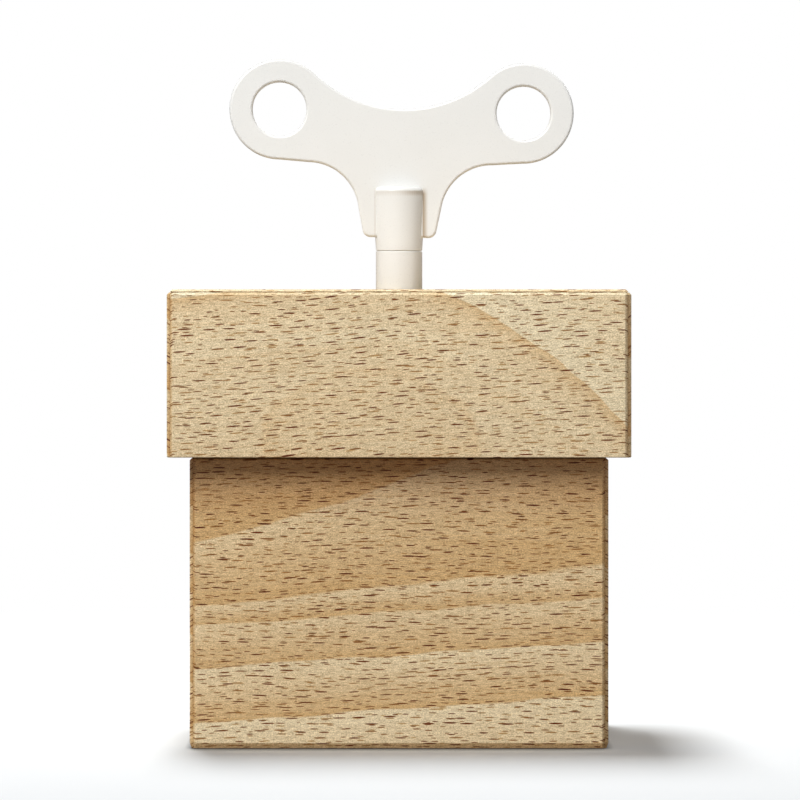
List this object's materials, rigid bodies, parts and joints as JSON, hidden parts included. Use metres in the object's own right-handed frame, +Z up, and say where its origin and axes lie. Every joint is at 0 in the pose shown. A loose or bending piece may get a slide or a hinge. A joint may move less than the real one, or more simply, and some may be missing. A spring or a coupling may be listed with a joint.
{
  "type": "jack in the box",
  "caption": "Square beech box with an overhanging hinged lid and a white butterfly winding key on top; a turned figure on a coil spring rises as the lid swings open.",
  "frame": {"origin": "middle of the box's footprint, on the surface it stands on", "axes": "+Z up along the key; the box's front faces -Y and its hinges are at +Y"},
  "size_m": [0.1, 0.1, 0.1501],
  "materials": {
    "beech": "oiled, close grain with fine dark ray flecks",
    "waxed_beech": "turned and waxed",
    "plywood": "sanded birch face",
    "white_nylon": "moulded, soft gloss",
    "fan_plastic": "moulded",
    "brass": "rolled, lightly brushed",
    "polished_steel": "ground and polished",
    "spring_steel": "drawn",
    "screw_steel": "zinc plated",
    "zinc": "cast and tumbled",
    "blue_paint": "painted, satin",
    "red_paint": "painted, satin",
    "red_felt": "wool felt",
    "cream_felt": "wool felt"
  },
  "bodies": {
    "box": {"front_wall": "beech", "right_wall": "beech", "back_wall": "beech", "left_wall": "beech", "bottom_panel": "plywood", "spring_seat": "beech", "spring_seat_screw": "screw_steel", "keeper": "brass", "keeper_screw_left": "screw_steel", "keeper_screw_right": "screw_steel", "hinge_leaf_box_left": "brass", "hinge_leaf_box_right": "brass", "hinge_screw_box_left": "screw_steel", "hinge_screw_box_right": "screw_steel"},
    "lid": {"lid_front": "beech", "lid_right": "beech", "lid_back": "beech", "lid_left": "beech", "lid_top": "beech", "inner_cover": "plywood", "batten_left": "beech", "batten_right": "beech", "cover_screw_left": "screw_steel", "cover_screw_right": "screw_steel", "hinge_leaf_lid_left": "brass", "hinge_leaf_lid_right": "brass", "hinge_screw_lid_left": "screw_steel", "hinge_screw_lid_right": "screw_steel", "hinge_pin_left": "polished_steel", "hinge_pin_right": "polished_steel", "stem_bushing": "brass", "bedplate": "zinc", "bedplate_screw_front": "screw_steel", "bedplate_screw_back": "screw_steel", "drum_frame": "brass", "governor_frame": "brass", "comb": "polished_steel", "comb_screw": "screw_steel", "mainspring_barrel": "brass", "mainspring": "spring_steel", "barrel_screw_left": "screw_steel", "barrel_screw_right": "screw_steel", "catch_leaf": "spring_steel", "catch_screw": "screw_steel"},
    "key": {"key_blade": "white_nylon", "key_sleeve": "white_nylon", "winding_arbor": "polished_steel", "crown_wheel": "brass"},
    "drum": {"drum_shaft": "polished_steel", "pinned_drum": "brass", "release_cam": "brass"},
    "governor": {"governor_shaft": "polished_steel", "governor_fan": "fan_plastic"},
    "jack": {"jack_platform": "beech", "jack_coat": "blue_paint", "jack_collar": "cream_felt", "jack_head": "waxed_beech", "jack_nose": "red_paint", "jack_cap": "red_felt", "jack_spring": "spring_steel"}
  },
  "joints": [
    {"name": "lid_hinge", "type": "hinge", "parent": "box", "child": "lid", "pos_m": [0, 0.0477, 0.0619], "axis": [-1, 0, 0], "range_deg": [0, 95], "deforming": ["catch_leaf"]},
    {"name": "key_turn", "type": "hinge", "parent": "lid", "child": "key", "pos_m": [0, 0, 0.099], "axis": [0, 0, 1], "continuous": true},
    {"name": "drum_turn", "type": "hinge", "parent": "lid", "child": "drum", "pos_m": [0, -0.0155, 0.0775], "axis": [0, 1, 0], "continuous": true},
    {"name": "governor_turn", "type": "hinge", "parent": "lid", "child": "governor", "pos_m": [0, 0.02, 0.0781], "axis": [0, -1, 0], "continuous": true},
    {"name": "jack_rise", "type": "slide", "parent": "box", "child": "jack", "axis": [0, 0, 1], "range_m": [0, 0.06], "stiffness_N_per_m": 20, "springref_m": 0.075, "deforming": ["jack_spring"]}
  ],
  "couplings": [
    {"joint": "drum_turn", "follows": "key_turn", "ratio": 4},
    {"joint": "governor_turn", "follows": "key_turn", "ratio": 5},
    {"joint": "jack_rise", "follows": "lid_hinge", "m_per_rad": 0.0361}
  ]
}
